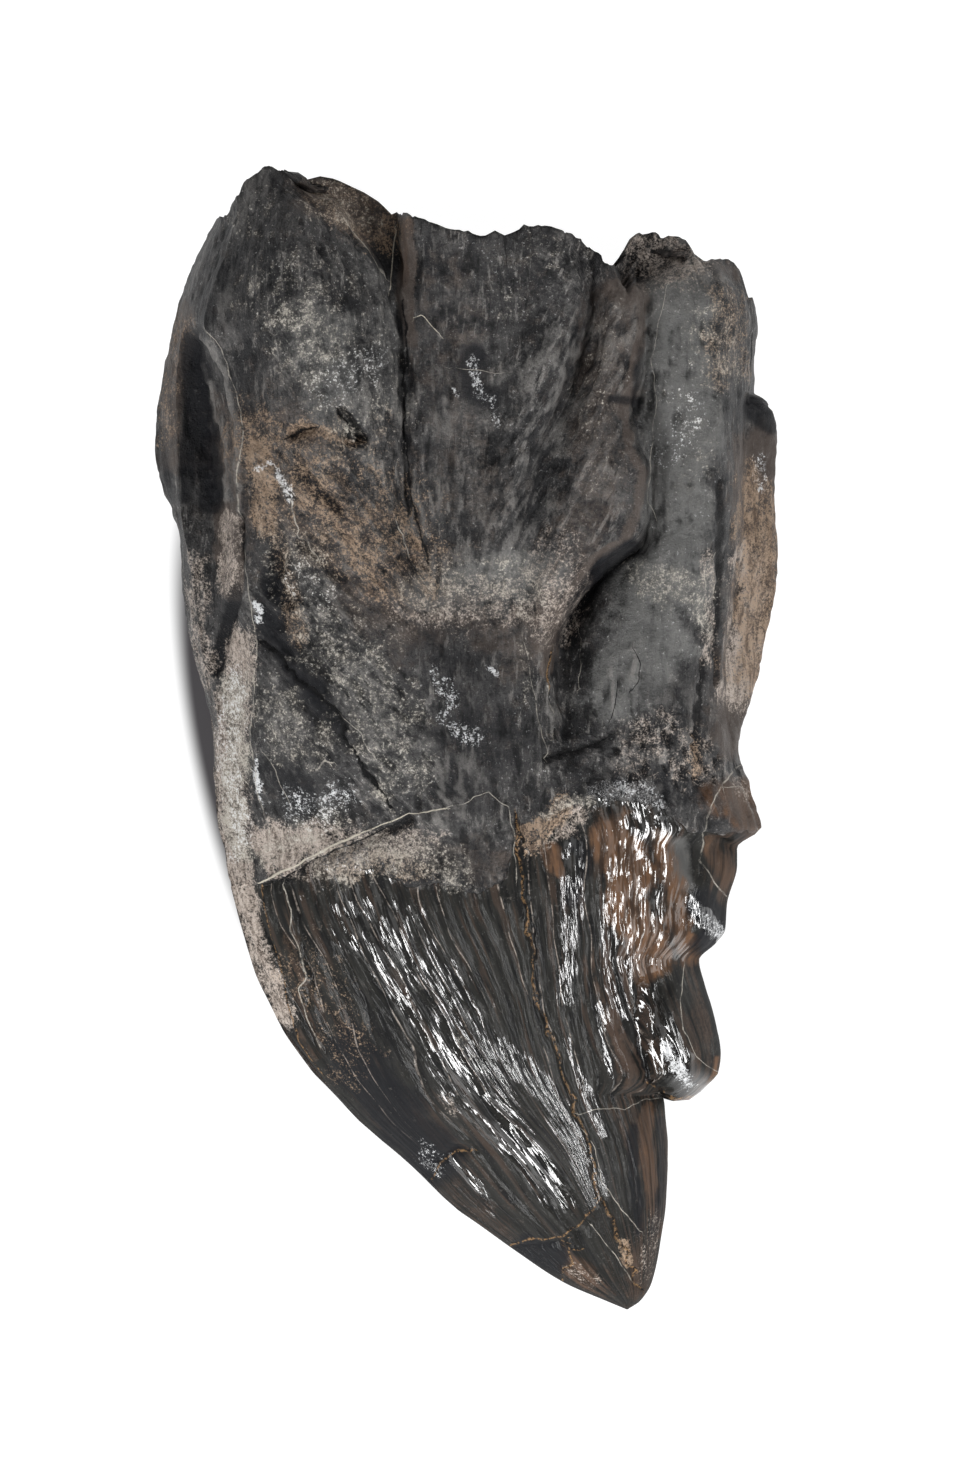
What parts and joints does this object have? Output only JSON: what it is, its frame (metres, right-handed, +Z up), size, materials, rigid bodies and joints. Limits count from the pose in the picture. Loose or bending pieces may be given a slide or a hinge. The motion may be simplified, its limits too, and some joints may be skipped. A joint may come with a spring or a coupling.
{
  "type": "fossil whale tooth",
  "caption": "Fossil cheek tooth of an early toothed whale: ridged enamel crown bent to a cusp, denticles on its rear edge, and a lobed root broken off at its end.",
  "frame": {"origin": "centre of the bounding box in plan, on the surface that the tooth lies on", "axes": "+Y from the cusp to the broken end of the root, +X to the edge with the denticles, +Z up from the surface the tooth lies on"},
  "size_m": [0.0428, 0.0782, 0.022],
  "materials": {
    "petrified_tooth": "charcoal and brown petrified bone, satin on the root and glossy on the enamel"
  },
  "bodies": {
    "root": {"whale_tooth": "petrified_tooth"}
  },
  "joints": []
}
